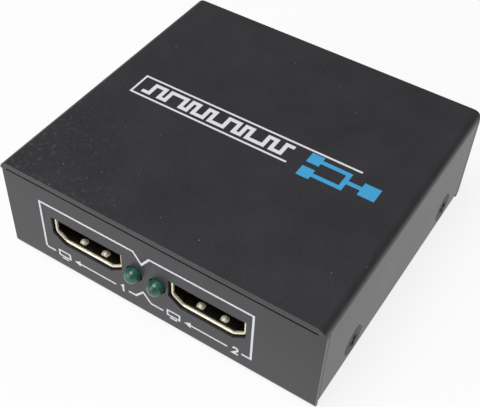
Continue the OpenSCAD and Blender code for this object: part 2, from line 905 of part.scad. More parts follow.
module power_inductor() {
    color(ferrite)
        on_board(inductor_at)
            intersection() {
                slab([inductor_w, inductor_w, inductor_h]);
                rotate([0, 0, 45])
                    slab([inductor_corner_w, inductor_corner_w, inductor_h]);
            }
}

module capacitor_bases() {
    color(dark_plastic)
        for (place = capacitors_at)
            on_board(place)
                slab([can_base, can_base, can_base_h]);
}

module capacitor_cans() {
    color(tin)
        for (place = capacitors_at)
            on_board(place)
                translate([0, 0, can_base_h])
                    cylinder(d = can_d, h = can_h);
}

// Row of small upright chip parts side by side
module passive_row(place, count, height) {
    on_board(place)
        for (i = [0 : count - 1])
            translate([(i - (count - 1) / 2) * passive_pitch, 0, 0])
                slab([passive_w, passive_l, height]);
}

module chip_capacitors() {
    color(ceramic)
        passive_row(chip_capacitors_at, capacitor_count, passive_cap_h);
}

module chip_resistors() {
    color(ferrite)
        passive_row(chip_resistors_at, resistor_count, passive_res_h);
}

top_cover();
bottom_tray();
cover_screw(-1, FRONT);  // cover_screw_front_left
cover_screw(-1, REAR);  // cover_screw_rear_left
cover_screw(1, FRONT);  // cover_screw_front_right
cover_screw(1, REAR);  // cover_screw_rear_right
board_standoffs();
circuit_board();
board_screws();
socket_shell(output_1);  // output_1_shell
socket_insulator(output_1);  // output_1_insulator
socket_contacts(output_1);  // output_1_contacts
socket_shell(output_2);  // output_2_shell
socket_insulator(output_2);  // output_2_insulator
socket_contacts(output_2);  // output_2_contacts
socket_shell(input);  // input_shell
socket_insulator(input);  // input_insulator
socket_contacts(input);  // input_contacts
jack_housing();
jack_centre_pin();
jack_leaf_spring();
jack_spring_terminal();
light_lens(light_1, lens_green);  // output_1_light_lens
light_wires(light_1);  // output_1_light_wires
light_lens(light_2, lens_green);  // output_2_light_lens
light_wires(light_2);  // output_2_light_wires
light_lens(power_light, lens_red);  // power_light_lens
light_wires(power_light);  // power_light_wires
splitter_chip();
splitter_chip_leads();
memory_chip();
memory_chip_leads();
voltage_regulator();
voltage_regulator_leads();
crystal();
power_inductor();
capacitor_bases();
capacitor_cans();
chip_capacitors();
chip_resistors();
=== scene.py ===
"""Looks of a two-way video splitter box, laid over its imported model.

The case, sockets, lights and screws are the model's own solids, given rounded edges and finishes.
The prints on the panels and the cover are thin layers of ink, worked out here.
"""

import json

import bmesh
import bpy
import numpy as np
from bpy.props import FloatProperty, FloatVectorProperty, PointerProperty
from mathutils import Matrix, Vector


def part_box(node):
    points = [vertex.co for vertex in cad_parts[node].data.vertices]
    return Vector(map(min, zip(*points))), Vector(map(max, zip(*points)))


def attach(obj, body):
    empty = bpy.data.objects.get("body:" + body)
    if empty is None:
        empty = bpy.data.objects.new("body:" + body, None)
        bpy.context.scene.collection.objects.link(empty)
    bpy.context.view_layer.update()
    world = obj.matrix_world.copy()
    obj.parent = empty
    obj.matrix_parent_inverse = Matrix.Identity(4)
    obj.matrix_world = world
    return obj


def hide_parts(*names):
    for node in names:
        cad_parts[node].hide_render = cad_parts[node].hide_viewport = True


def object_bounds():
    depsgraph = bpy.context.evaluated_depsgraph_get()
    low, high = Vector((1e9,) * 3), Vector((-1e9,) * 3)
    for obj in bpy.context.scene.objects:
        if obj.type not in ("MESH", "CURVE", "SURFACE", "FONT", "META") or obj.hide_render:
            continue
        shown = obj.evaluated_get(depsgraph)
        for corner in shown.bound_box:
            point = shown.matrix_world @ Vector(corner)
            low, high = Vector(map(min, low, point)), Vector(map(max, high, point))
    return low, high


bl_info = {
    "name": "Splitter Box Looks",
    "version": (1, 0, 0),
    "blender": (4, 5, 0),
    "location": "3D View > Sidebar > Splitter",
    "description": "Finishes, prints and stage for a small folded-metal video splitter",
    "category": "Object",
}

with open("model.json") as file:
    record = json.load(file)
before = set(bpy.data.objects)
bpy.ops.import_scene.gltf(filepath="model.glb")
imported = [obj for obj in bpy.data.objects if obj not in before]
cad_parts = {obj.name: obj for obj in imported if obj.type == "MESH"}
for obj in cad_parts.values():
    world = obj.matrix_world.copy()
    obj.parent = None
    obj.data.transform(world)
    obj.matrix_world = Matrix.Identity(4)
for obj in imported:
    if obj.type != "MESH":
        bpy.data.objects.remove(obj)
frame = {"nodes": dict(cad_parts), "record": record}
CAD_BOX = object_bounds()
CAD_MIDDLE = (CAD_BOX[0] + CAD_BOX[1]) / 2

MM = 0.001
CASE_BODY = "case"
SOCKETS = ("output_1", "output_2", "input")
FRONT_LIGHTS = ("output_1", "output_2")
COVER_SCREWS = ("front_left", "rear_left", "front_right", "rear_right")

# Faces that carry print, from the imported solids
TOP_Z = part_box("top_cover")[1].z
FRONT_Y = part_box("bottom_tray")[0].y
REAR_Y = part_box("bottom_tray")[1].y

# Mouth of the sockets, the bright band behind it and the dimples of the spring fingers
MOUTH_Y = -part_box("output_1_shell")[0].y
RUBBED_BAND = 0.25 * MM
DIMPLE_X, DIMPLE_Y, DIMPLE_R = 2.4 * MM, MOUTH_Y - 1.4 * MM, 0.78 * MM

# Where the walls of the panels' cut-outs lie, which get painted shade: how far behind the panel's face, how
# high and how far out
HOLE_NEAR, HOLE_FAR = 0.12 * MM, 2 * MM
HOLE_FOOT, HOLE_HEAD = 5.5 * MM, 18.5 * MM
HOLE_REACH = 29 * MM

# Distance from the middle to the cover's front left corner, along each side, where it is scuffed and painted
# with sheen
SCUFF_AND_SHEEN_REACH = 31 * MM


def node_middle(name):
    """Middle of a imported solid's box."""
    low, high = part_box(name)
    return (low + high) / 2


# Sizes and colours that a user would change


def length(title, words, millimetres):
    """A length property, given in millimetres and stored in metres."""
    return FloatProperty(name=title, description=words, default=millimetres * MM, unit="LENGTH", precision=5)


def tint(title, words, colour):
    """A colour property in linear light."""
    return FloatVectorProperty(name=title, description=words, default=colour, subtype="COLOR", min=0, max=1)


class SplitterSizes(bpy.types.PropertyGroup):
    """Rounded edges and print sizes."""

    case_edge: length("Case edge", "Rounding of the coated sheet's cut edges", 0.22)
    screw_edge: length("Screw edge", "Rounding of the cover screws' edges", 0.07)
    shell_edge: length("Shell edge", "Rounding of the socket shells' edges", 0.05)
    plastic_edge: length("Plastic edge", "Rounding of moulded edges", 0.1)
    ink_depth: length("Ink depth", "Thickness of the printed ink", 0.02)
    line_width: length("Line width", "Width of the printed frame lines", 0.41)
    mark_width: length("Mark width", "Stroke width of the small printed marks", 0.34)
    wave_width: length("Wave width", "Stroke width of the printed wave on the cover", 0.8)
    tree_width: length("Tree width", "Stroke width of the printed tree on the cover", 0.9)
    rim_width: length("Rim width", "Width of the rolled rim round a socket's mouth", 0.46)
    rim_rise: length("Rim rise", "How far a socket's rolled rim stands out of its mouth", 0.24)


class SplitterColours(bpy.types.PropertyGroup):
    """Colours of the finishes."""

    coat: tint("Coat", "Powder coat of cover and tray", (0.022, 0.0215, 0.024))
    coat_light: tint("Coat light", "Lighter grains of the powder coat", (0.038, 0.0375, 0.043))
    # Partly real rubbing and dust, partly painted sheen: the top is lightened towards its front left corner
    scuff_and_sheen: tint("Scuff", "Rubbed and dusty corner of the cover", (0.085, 0.088, 0.092))
    # Painted shade: nearly black colour for the walls of the cut-outs, where little light reaches
    painted_shade_hole_wall: tint("Hole wall", "Painted near-black shade on the walls of the cut-outs", (0.008, 0.007, 0.007))
    dust: tint("Dust", "Specks on the cover", (0.36, 0.36, 0.37))
    white_ink: tint("White ink", "Printed lines and marks", (0.80, 0.81, 0.85))
    blue_ink: tint("Blue ink", "Printed tree on the cover", (0.052, 0.38, 0.70))
    screw: tint("Screw", "Blackened screws", (0.035, 0.035, 0.038))
    shell: tint("Shell", "Plating of the socket shells", (0.97, 0.89, 0.69))
    socket_plastic: tint("Socket plastic", "Insulators inside the sockets", (0.020, 0.017, 0.014))
    contact: tint("Contact", "Gilt contacts", (0.86, 0.66, 0.30))
    green_lens: tint("Green lens", "Front lights", (0.026, 0.165, 0.118))
    red_lens: tint("Red lens", "Power light", (0.33, 0.016, 0.014))
    board: tint("Board", "Solder mask of the board", (0.006, 0.055, 0.026))
    tin: tint("Tin", "Tinned wires, leads and screws", (0.66, 0.67, 0.69))
    brass: tint("Brass", "Turned standoffs", (0.62, 0.48, 0.24))
    compound: tint("Compound", "Moulded bodies of the chips", (0.022, 0.022, 0.024))
    ferrite: tint("Ferrite", "Body of the power inductor", (0.08, 0.08, 0.085))
    ceramic: tint("Ceramic", "Bodies of the chip capacitors", (0.36, 0.26, 0.16))
    floor: tint("Floor", "Studio floor", (0.90, 0.90, 0.90))


class SplitterLooks(bpy.types.PropertyGroup):
    """All settings of the splitter box."""

    sizes: PointerProperty(type=SplitterSizes)
    colours: PointerProperty(type=SplitterColours)


# Shader maths


class Wire:
    """A socket that takes part in arithmetic: each operation adds one Math node."""

    def __init__(self, tree, socket):
        self.tree = tree
        self.socket = socket

    def maths(self, operation, *values):
        """One Math node with the given inputs, in order."""
        node = self.tree.nodes.new("ShaderNodeMath")
        node.operation = operation
        for place, value in enumerate(values):
            feed(self.tree, node.inputs[place], value)
        return Wire(self.tree, node.outputs[0])

    def __add__(self, other):
        return self.maths("ADD", self, other)

    def __sub__(self, other):
        return self.maths("SUBTRACT", self, other)

    def __rsub__(self, other):
        return self.maths("SUBTRACT", other, self)

    def __mul__(self, other):
        return self.maths("MULTIPLY", self, other)

    def __abs__(self):
        return self.maths("ABSOLUTE", self)

    def __gt__(self, other):
        return self.maths("GREATER_THAN", self, other)

    def __lt__(self, other):
        return self.maths("LESS_THAN", self, other)

    __radd__ = __add__
    __rmul__ = __mul__

    def larger(self, other):
        """The larger of two values."""
        return self.maths("MAXIMUM", self, other)


def feed(tree, socket, value):
    """Links a wire to a socket, or sets the socket's own value."""
    if isinstance(value, Wire):
        tree.links.new(value.socket, socket)
    elif socket.type == "RGBA":
        socket.default_value = (*value, 1.0)
    else:
        socket.default_value = value


class Finish:
    """A material or world under construction."""

    def __init__(self, owner):
        owner.use_nodes = True
        self.owner = owner
        self.tree = owner.node_tree
        self.tree.nodes.clear()

    def node(self, kind, inputs=None, output=0, stops=None, **settings):
        """Adds a node, sets it up, feeds its sockets and gives one of its outputs as a wire."""
        made = self.tree.nodes.new("ShaderNode" + kind)
        for name, value in settings.items():
            setattr(made, name, value)
        if stops:
            made.color_ramp.elements[0].position, made.color_ramp.elements[1].position = stops
        for name, value in (inputs or {}).items():
            feed(self.tree, made.inputs[name], value)
        return Wire(self.tree, made.outputs[output]) if made.outputs else None

    def place(self, axis=None):
        """Object coordinates, which are the model's own coordinates in metres, or one of their axes."""
        everywhere = self.node("TexCoord", output="Object")
        return self.part(everywhere, axis) if axis else everywhere

    def facing(self, axis):
        """One axis of the surface's own direction."""
        return self.part(self.node("NewGeometry", output="Normal"), axis)

    def part(self, vector, axis):
        """One axis of a vector."""
        return self.node("SeparateXYZ", {"Vector": vector}, axis)

    def noise(self, size, detail=2.0):
        """Cloudy noise whose lumps have about the given size in metres."""
        return self.node("TexNoise", {"Vector": self.place(), "Scale": 1 / size, "Detail": detail}, "Fac")

    def cells(self, size, output):
        """Scattered cells of about the given size in metres."""
        return self.node("TexVoronoi", {"Vector": self.place(), "Scale": 1 / size}, output)

    def steep(self, value, low, high):
        """Value stretched so that low becomes 0 and high becomes 1."""
        return self.node("ValToRGB", {"Fac": value}, "Color", stops=(low, high))

    def blend(self, factor, first, second):
        """Colour between two colours, through the Mix node's colour sockets, which are 6, 7 and output 2."""
        return self.node("Mix", {0: factor, 6: first, 7: second}, 2, data_type="RGBA")

    def bump(self, height, depth, strength):
        """Normal bent by a height field whose full rise is the given depth in metres."""
        return self.node("Bump", {"Height": height, "Distance": depth, "Strength": strength}, "Normal")

    def surface(self, **sockets):
        """Ends the material in one Principled shader."""
        inputs = {name.replace("_", " "): value for name, value in sockets.items()}
        shader = self.node("BsdfPrincipled", inputs, "BSDF")
        self.node("OutputMaterial", {"Surface": shader})
        return self.owner


# Finishes


def new_finish(name):
    """An empty material to build a finish in."""
    return Finish(bpy.data.materials.new(name))


def shade(colour, share):
    """A colour made darker or lighter by one factor."""
    return [share * part for part in colour]


def cut_out_walls(finish):
    """1 on the walls of the panels' cut-outs, which get painted shade: inside the sheet, above its foot and
    not facing along Y.
    """
    inward = abs(finish.place("Y"))
    height = finish.place("Z")
    along = finish.facing("Y")
    in_sheet = (inward < -FRONT_Y - HOLE_NEAR) * (inward > -FRONT_Y - HOLE_FAR)
    between = (height > HOLE_FOOT) * (height < HOLE_HEAD)
    within = abs(finish.place("X")) < HOLE_REACH
    return in_sheet * between * within * (along * along < 0.5)


def powder_coat(name, colours):
    """Black powder coat: fine grains that lift the colour, dust on what faces up, painted shade in the
    cut-outs.

    The scuffed corner is where -(x + y), over twice the corner's reach, nears 1, and the dust thickens
    towards it.
    Its rubbed patches are lightened there, partly real rubbing and partly painted sheen.
    """
    finish = new_finish(name)
    # Painted shade: wall is 1 on the walls of the cut-outs, which are coloured nearly black
    wall = cut_out_walls(finish)
    grain = finish.noise(size=0.22 * MM, detail=3.0)
    cloud = finish.noise(size=9 * MM, detail=3.0)
    mottle = finish.steep(grain * 0.6 + cloud * 0.4, low=0.35, high=0.70)
    base = finish.blend(mottle, colours.coat, colours.coat_light)
    speck_size = 1.3 * MM
    specks = finish.cells(speck_size, "Distance") < 0.06
    chosen = finish.node("SeparateColor", {"Color": finish.cells(speck_size, "Color")}, "Red") > 0.66
    drift = finish.steep(finish.noise(size=16 * MM), low=0.50, high=0.62)
    up = finish.facing("Z") > 0.5
    corner = (finish.place("X") + finish.place("Y")) * (-1 / (2 * SCUFF_AND_SHEEN_REACH))
    rubs = finish.steep(finish.noise(size=0.9 * MM, detail=4.0), low=0.54, high=0.78)
    # Partly real rubs, partly painted sheen: patches lightened towards the top's front left corner
    scuffs_and_sheen = rubs * finish.steep(corner, low=0.45, high=1.0) * up
    dust = specks * chosen * drift.larger(finish.steep(corner, low=0.3, high=0.7)) * up
    dusted = finish.blend(dust, finish.blend(scuffs_and_sheen, base, colours.scuff_and_sheen), colours.dust)
    return finish.surface(
        Base_Color=finish.blend(wall, dusted, colours.painted_shade_hole_wall),
        Roughness=grain * 0.12 + cloud * 0.06 + wall * 0.3 + 0.28,
        Normal=finish.bump(grain, depth=0.03 * MM, strength=0.25),
    )


def ink(name, colour):
    """Screen-printed ink: nearly even, a little thin where the coat's grains stand up."""
    finish = new_finish(name)
    grain = finish.noise(size=0.25 * MM)
    return finish.surface(
        Base_Color=finish.blend(finish.steep(grain, low=0.30, high=0.60), shade(colour, 0.86), colour),
        Roughness=grain * 0.2 + 0.40,
        Normal=finish.bump(grain, depth=0.01 * MM, strength=0.3),
    )


def plated_metal(name, colour, rough=0.22, wear=0.16):
    """Plated sheet or wire: bright metal with faint rolling marks and dull patches."""
    finish = new_finish(name)
    patches = finish.noise(size=1.8 * MM, detail=4.0)
    marks = finish.noise(size=0.12 * MM)
    return finish.surface(
        Base_Color=finish.blend(finish.steep(patches, low=0.35, high=0.65), colour, shade(colour, 0.72)),
        Metallic=1.0,
        Roughness=patches * wear + marks * 0.06 + (rough - wear / 2),
        Normal=finish.bump(marks, depth=0.004 * MM, strength=0.25),
    )


def shell_plate(name, colour, middle_x):
    """Plating of one socket's shell: bright and rubbed matt on the rim and the dimples, painted shade
    further in.

    The dimples are the discs |(|x - middle| - DIMPLE_X, |y| - DIMPLE_Y)| < DIMPLE_R.
    """
    finish = new_finish(name)
    patches = finish.noise(size=1.8 * MM, detail=4.0)
    marks = finish.noise(size=0.12 * MM)
    depth = abs(finish.place("Y"))
    along = abs(finish.place("X") - middle_x) - DIMPLE_X
    inward = depth - DIMPLE_Y
    dimple = (along * along + inward * inward) < DIMPLE_R ** 2
    rubbed = dimple.larger(depth > MOUTH_Y - RUBBED_BAND)
    # Painted shade: further in than the rim and the dimples, the plating is darkened to a third and a sixth
    # of its colour, in patches
    patchy_shade = finish.steep(patches, low=0.35, high=0.65)
    inside = finish.blend(patchy_shade, shade(colour, 0.34), shade(colour, 0.17))
    return finish.surface(
        Base_Color=finish.blend(rubbed, inside, colour),
        Metallic=1 - rubbed * 0.45 - dimple * 0.35,
        Roughness=patches * 0.12 + marks * 0.06 + rubbed * 0.06 + 0.20,
        Normal=finish.bump(marks, depth=0.004 * MM, strength=0.25),
    )


def blackened_steel(name, colour):
    """Blackened screw: dark and dull, rubbed brighter in patches."""
    finish = new_finish(name)
    patches = finish.noise(size=0.7 * MM, detail=3.0)
    return finish.surface(
        Base_Color=finish.blend(finish.steep(patches, low=0.50, high=0.68), colour, shade(colour, 2.6)),
        Metallic=0.3,
        Roughness=patches * 0.25 + 0.38,
        Specular_IOR_Level=0.25,
        Normal=finish.bump(patches, depth=0.03 * MM, strength=0.5),
    )


def moulded_plastic(name, colour, rough=0.45):
    """Moulded plastic: fine spark-eroded grain and slow changes of sheen."""
    finish = new_finish(name)
    grain = finish.noise(size=0.09 * MM)
    sheen = finish.noise(size=3 * MM)
    return finish.surface(
        Base_Color=finish.blend(grain * sheen, colour, shade(colour, 1.5)),
        Roughness=grain * 0.14 + sheen * 0.1 + (rough - 0.12),
        Normal=finish.bump(grain, depth=0.006 * MM, strength=0.35),
    )


def tinted_resin(name, colour):
    """Tinted clear resin of an unlit light: glossy, cloudy inside."""
    finish = new_finish(name)
    cloud = finish.noise(size=1.1 * MM)
    return finish.surface(
        Base_Color=finish.blend(finish.steep(cloud, low=0.35, high=0.65), shade(colour, 0.45), colour),
        Roughness=cloud * 0.16 + 0.22,
        IOR=1.55,
        Transmission_Weight=0.2,
        Coat_Weight=0.25,
        Coat_Roughness=0.12,
    )


def board_mask(name, colour):
    """Solder mask: glossy green with the darker weave of the glass laminate below it."""
    finish = new_finish(name)
    weave = {"Vector": finish.place(), "Scale": 260.0}
    across = finish.node("TexWave", weave, "Fac", bands_direction="X")
    along = finish.node("TexWave", weave, "Fac", bands_direction="Y")
    return finish.surface(
        Base_Color=finish.blend(across * along, shade(colour, 0.7), colour),
        Roughness=finish.noise(size=2 * MM) * 0.12 + 0.24,
        Normal=finish.bump(across + along, depth=0.01 * MM, strength=0.2),
    )


# Dressed solids

# Corners closer than this are one corner
SAME_PLACE = 1e-4 * MM
# Facets that bend less than this are one flat face, and edges sharper than the other are rounded
FLAT_ANGLE, SHARP_ANGLE = np.radians(0.4), np.radians(35)


def paint(node, material):
    """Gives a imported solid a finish."""
    solid = frame["nodes"][node]
    solid.data.materials.clear()
    solid.data.materials.append(material)


def body_of(node):
    """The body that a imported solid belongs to."""
    bodies = frame["record"]["behaviour"]["bodies"]
    return next(body for body, members in bodies.items() if node in members)


def new_object(mesh):
    """An object for a mesh, under the mesh's name, in the scene."""
    made = bpy.data.objects.new(mesh.name, mesh)
    bpy.context.scene.collection.objects.link(made)
    return made


def smooth(mesh):
    """Shades all faces of a mesh as one soft surface."""
    mesh.polygons.foreach_set("use_smooth", np.ones(len(mesh.polygons), bool))


def joined_surface(node):
    """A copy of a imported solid's surface, with its loose triangles joined and its flat facets merged.

    Each corner is rounded to whole steps of SAME_PLACE, and corners with the same steps become one.
    """
    source = frame["nodes"][node].data
    places = np.empty(len(source.vertices) * 3)
    source.vertices.foreach_get("co", places)
    places = places.reshape(-1, 3)
    corners = np.empty(len(source.loops), int)
    source.loops.foreach_get("vertex_index", corners)
    steps = np.round(places / SAME_PLACE).astype(np.int64)
    _, first, shared = np.unique(steps, axis=0, return_index=True, return_inverse=True)
    triangles = shared.reshape(-1)[corners].reshape(-1, 3)
    proper = np.all(triangles != np.roll(triangles, 1, axis=1), axis=1)
    mesh = bpy.data.meshes.new(node + "_dressed")
    mesh.from_pydata(places[first].tolist(), [], triangles[proper].tolist())
    work = bmesh.new()
    work.from_mesh(mesh)
    bmesh.ops.dissolve_limit(work, angle_limit=FLAT_ANGLE, verts=work.verts, edges=work.edges)
    work.to_mesh(mesh)
    work.free()
    return mesh


def dressed(node, material, edge):
    """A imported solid's own surface with a finish, and with its sharp edges rounded by a two-step bevel."""
    mesh = joined_surface(node)
    smooth(mesh)
    mesh.materials.append(material)
    piece = new_object(mesh)
    rounding = piece.modifiers.new("Rounded edges", "BEVEL")
    rounding.width = edge
    rounding.segments = 2
    rounding.limit_method = "ANGLE"
    rounding.angle_limit = SHARP_ANGLE
    rounding.miter_outer = "MITER_ARC"
    shading = piece.modifiers.new("Even shading", "WEIGHTED_NORMAL")
    shading.keep_sharp = True
    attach(piece, body_of(node))
    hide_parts(node)


# Shapes on a flat face, in millimetres


class Sheet:
    """A flat face to build on: u runs along it, v up it and w out of it."""

    def __init__(self, origin, along, up, slot):
        self.origin = np.array(origin, float)
        self.axes = np.array([along, up, np.cross(along, up)], float)
        self.slot = slot

    def spread(self, points):
        """Places (u, v, w) rows in millimetres on the face, in metres."""
        return self.origin + points * MM @ self.axes


TOP_SHEET = Sheet((0, 0, TOP_Z), (1, 0, 0), (0, 1, 0), "cover_coat")
FRONT_SHEET = Sheet((0, FRONT_Y, 0), (1, 0, 0), (0, 0, 1), "tray_coat")
REAR_SHEET = Sheet((0, REAR_Y, 0), (-1, 0, 0), (0, 0, 1), "tray_coat")

# How much thicker each shape of a print is than the one before it, as a share of the ink's thickness
LAYER_STEP = 0.05


def prism(outline, depth):
    """A flat outline given a thickness: the outline at w = 0 and at w = depth, and the wall between."""
    outline = np.asarray(outline, float)
    count = len(outline)
    low = np.c_[outline, np.zeros(count)]
    high = np.c_[outline, np.full(count, depth)]
    here = np.arange(count)
    after = np.roll(here, -1)
    walls = np.c_[here, after, after + count, here + count].tolist()
    return np.vstack([low, high]), [here[::-1].tolist(), (here + count).tolist(), *walls]


def ring_faces(rings, count):
    """Faces of a closed skin over rings of count points: each ring joins the next, the last the first."""
    here = np.arange(count) + count * np.arange(rings)[:, None]
    after = np.roll(here, -1, axis=1)
    faces = np.stack([here, after, np.roll(after, -1, axis=0), np.roll(here, -1, axis=0)], axis=-1)
    return faces.reshape(-1, 4).tolist()


def ribbon(path, width, depth, closed=False):
    """A band of the given width and depth along a path, mitred at its corners.

    Each corner's offset is (m + n) / (1 + m.n) times half the width, where m and n are the unit normals
    of the two stretches that meet there.
    """
    path = np.asarray(path, float)
    steps = np.diff(np.vstack([path, path[:1]]) if closed else path, axis=0)
    unit = steps / np.linalg.norm(steps, axis=1, keepdims=True)
    normal = np.c_[-unit[:, 1], unit[:, 0]]
    before = np.roll(normal, 1, axis=0) if closed else np.vstack([normal[:1], normal])
    after = normal if closed else np.vstack([normal, normal[-1:]])
    offset = (before + after) / (1 + np.sum(before * after, axis=1, keepdims=True)) * width / 2
    if not closed:
        return prism(np.vstack([path + offset, (path - offset)[::-1]]), depth)
    low = np.zeros((len(path), 1))
    high = low + depth
    points = np.vstack([
        np.hstack([path + offset, low]), np.hstack([path + offset, high]),
        np.hstack([path - offset, high]), np.hstack([path - offset, low])])
    return points, ring_faces(4, len(path))


def arc(centre, radius, start, stop, count=24):
    """Points on a circle between two angles in degrees."""
    angles = np.radians(np.linspace(start, stop, count))
    return np.c_[centre[0] + radius * np.cos(angles), centre[1] + radius * np.sin(angles)]


def circle(centre, radius, count=48):
    """Points round a whole circle."""
    return arc(centre, radius, 0, 360, count + 1)[:-1]


def square(middle, side):
    """Corners of a square."""
    return np.array(middle) + side / 2 * np.array([(-1, -1), (1, -1), (1, 1), (-1, 1)])


def closed_piece(name, sheet, points, faces, material):
    """A new piece of the case from (u, v, w) points on a face, with its faces turned outwards."""
    mesh = bpy.data.meshes.new(name)
    mesh.from_pydata(sheet.spread(points).tolist(), [], faces)
    work = bmesh.new()
    work.from_mesh(mesh)
    bmesh.ops.recalc_face_normals(work, faces=work.faces)
    work.to_mesh(mesh)
    work.free()
    mesh.materials.append(material)
    piece = new_object(mesh)
    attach(piece, CASE_BODY)
    return piece


def printed(name, sheet, shapes, material):
    """Several closed shapes of ink on one face.

    Shape k is (1 + k LAYER_STEP) times as thick as the first, so that shapes that cross never share a plane.
    """
    starts = np.cumsum([0] + [len(points) for points, _ in shapes]).tolist()
    points = np.vstack([points * (1, 1, 1 + LAYER_STEP * k) for k, (points, _) in enumerate(shapes)])
    faces = [[start + corner for corner in face]
             for start, (_, group) in zip(starts, shapes) for face in group]
    closed_piece(name, sheet, points, faces, material)


# Rolled rim of a socket: the mouth's size, its slanted lower corners, the shell's sheet, the rim's corners,
# how far the rim's foot lies behind the mouth, and the points across the rim
SHELL_SIZE = (14.5, 5.05)
SHELL_SLANT = (2.2, 1.6)
SHELL_SHEET = 0.25
RIM_CORNER = 0.55
RIM_FOOT = 0.3
RIM_POINTS = 11


def rounded(outline, radius, count=7):
    """A closed outline with an arc in place of each corner.

    The arc is drawn as the quadratic curve between two points at equal distances from the corner.
    """
    outline = np.asarray(outline, float)
    before, after = np.roll(outline, 1, axis=0) - outline, np.roll(outline, -1, axis=0) - outline
    before /= np.linalg.norm(before, axis=1, keepdims=True)
    after /= np.linalg.norm(after, axis=1, keepdims=True)
    t = np.linspace(0, 1, count)[None, :, None]
    first, last = (outline + radius * before)[:, None], (outline + radius * after)[:, None]
    return ((1 - t) ** 2 * first + 2 * t * (1 - t) * outline[:, None] + t ** 2 * last).reshape(-1, 2)


def mouth_outline(grow):
    """Outline of a shell's mouth about the middle of its lower edge, moved out by a distance."""
    (wide, tall), (slant_w, slant_h) = SHELL_SIZE, SHELL_SLANT
    half, foot = wide / 2, wide / 2 - slant_w
    slope = np.arctan2(slant_h, slant_w)
    side = slant_h - grow * np.cos(slope) / (1 + np.sin(slope))
    foot += grow * np.sin(slope) / (1 + np.cos(slope))
    right = [(foot, -grow), (half + grow, side), (half + grow, tall + grow)]
    return np.array(right + [(-u, v) for u, v in reversed(right)])


def rolled_rim(socket, material, width, rise):
    """A rolled lip round a socket's mouth: half an ellipse carried round the mouth's outline.

    Across the lip s runs from -1 at the sheet's inner face to 1, and the lip stands rise sqrt(1 - s^2) out
    of the mouth; its foot lies RIM_FOOT back along the sheet.
    """
    low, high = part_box(socket + "_shell")
    front = low.y < 0
    base = (node_middle(socket + "_shell").x, low.y if front else high.y, high.z - SHELL_SIZE[1] * MM)
    sheet = Sheet(base, (1 if front else -1, 0, 0), (0, 0, 1), "shell_plate")
    turn = np.linspace(0, np.pi, RIM_POINTS)
    lift = rise * np.sin(turn)
    lift[[0, -1]] = -RIM_FOOT
    centre = width / 2 - SHELL_SHEET
    outlines = [rounded(mouth_outline(centre + s * width / 2), RIM_CORNER) for s in np.cos(turn)]
    count = len(outlines[0])
    points = np.c_[np.vstack(outlines), np.repeat(lift, count)]
    rim = closed_piece(socket + "_rim", sheet, points, ring_faces(RIM_POINTS, count), material)
    smooth(rim.data)


# Small printed marks: a screen's size, a number's height and weight, and an arrow's head
SCREEN_SIZE = (2.5, 1.5)
NUMBER_HEIGHT, NUMBER_WEIGHT = 1.65, 1.15
ARROW_HEAD, ARROW_SPREAD = 1.3, 0.55


def number_one(middle):
    """Path of a plain 1: a flag and a stem."""
    u, v = middle
    tall = NUMBER_HEIGHT
    return [(u - 0.26 * tall, v + 0.24 * tall), (u, v + tall / 2), (u, v - tall / 2)]


def number_two(middle):
    """Path of a plain 2: a bow, a slanted neck and a foot."""
    u, v = middle
    tall = NUMBER_HEIGHT
    bow = arc((u, v + 0.22 * tall), 0.28 * tall, 170, -35, 16)
    return [*bow.tolist(), (u - 0.3 * tall, v - tall / 2), (u + 0.34 * tall, v - tall / 2)]


def arrow(tail, tip, width, depth):
    """A straight arrow: a band for its shaft and a triangle for its head."""
    tail, tip = np.array(tail, float), np.array(tip, float)
    along = (tip - tail) / np.linalg.norm(tip - tail)
    across = np.array([-along[1], along[0]]) * ARROW_HEAD * ARROW_SPREAD
    root = tip - along * ARROW_HEAD
    return [ribbon([tail, root], width, depth), prism([root - across, tip, root + across], depth)]


def screen_sign(middle, width, depth):
    """A small screen on a foot."""
    u, v = middle
    half, tall = SCREEN_SIZE[0] / 2, SCREEN_SIZE[1] / 2
    low, high, foot = v - 0.5 * tall, v + 1.2 * tall, v - 1.25 * tall
    edge = [(u - half, low), (u + half, low), (u + half, high), (u - half, high)]
    return [ribbon(edge, width, depth, closed=True),
            ribbon([(u - 0.6 * half, foot), (u + 0.6 * half, foot)], width, depth)]


# Front print: along the panel, and up from the underside
FRAME_LEFT, FRAME_RIGHT = -24.2, 19.5
FRAME_TOP, FRAME_FOOT = 15.8, 4.05
FRAME_CHAMFER = 0.35
NOTCH_MIDDLE, NOTCH_HALF = -2.4, 1.65
NOTCH_DROP, NOTCH_RISE = 2.35, 2.0
# Gaps in the frame for the labels, and where the screen, the arrow and the number stand in them
LABEL_GAPS = ((-22.1, -5.6), (1.8, 17.7))
SCREEN_INSET, NUMBER_INSET = 0.9, 1.2
TIP_GAP, TAIL_GAP = 1.0, 1.6


def output_label(gap, number, width, depth):
    """A screen, an arrow that points to it, and the output's number, spread over a gap in the frame."""
    left, right = gap
    screen_u = left + SCREEN_INSET + SCREEN_SIZE[0] / 2
    number_u = right - NUMBER_INSET
    tip = (screen_u + SCREEN_SIZE[0] / 2 + TIP_GAP, FRAME_FOOT)
    shaft = arrow((number_u - TAIL_GAP, FRAME_FOOT), tip, width, depth)
    digit = ribbon(number((number_u, FRAME_FOOT)), width * NUMBER_WEIGHT, depth)
    return [*screen_sign((screen_u, FRAME_FOOT), width, depth), *shaft, digit]


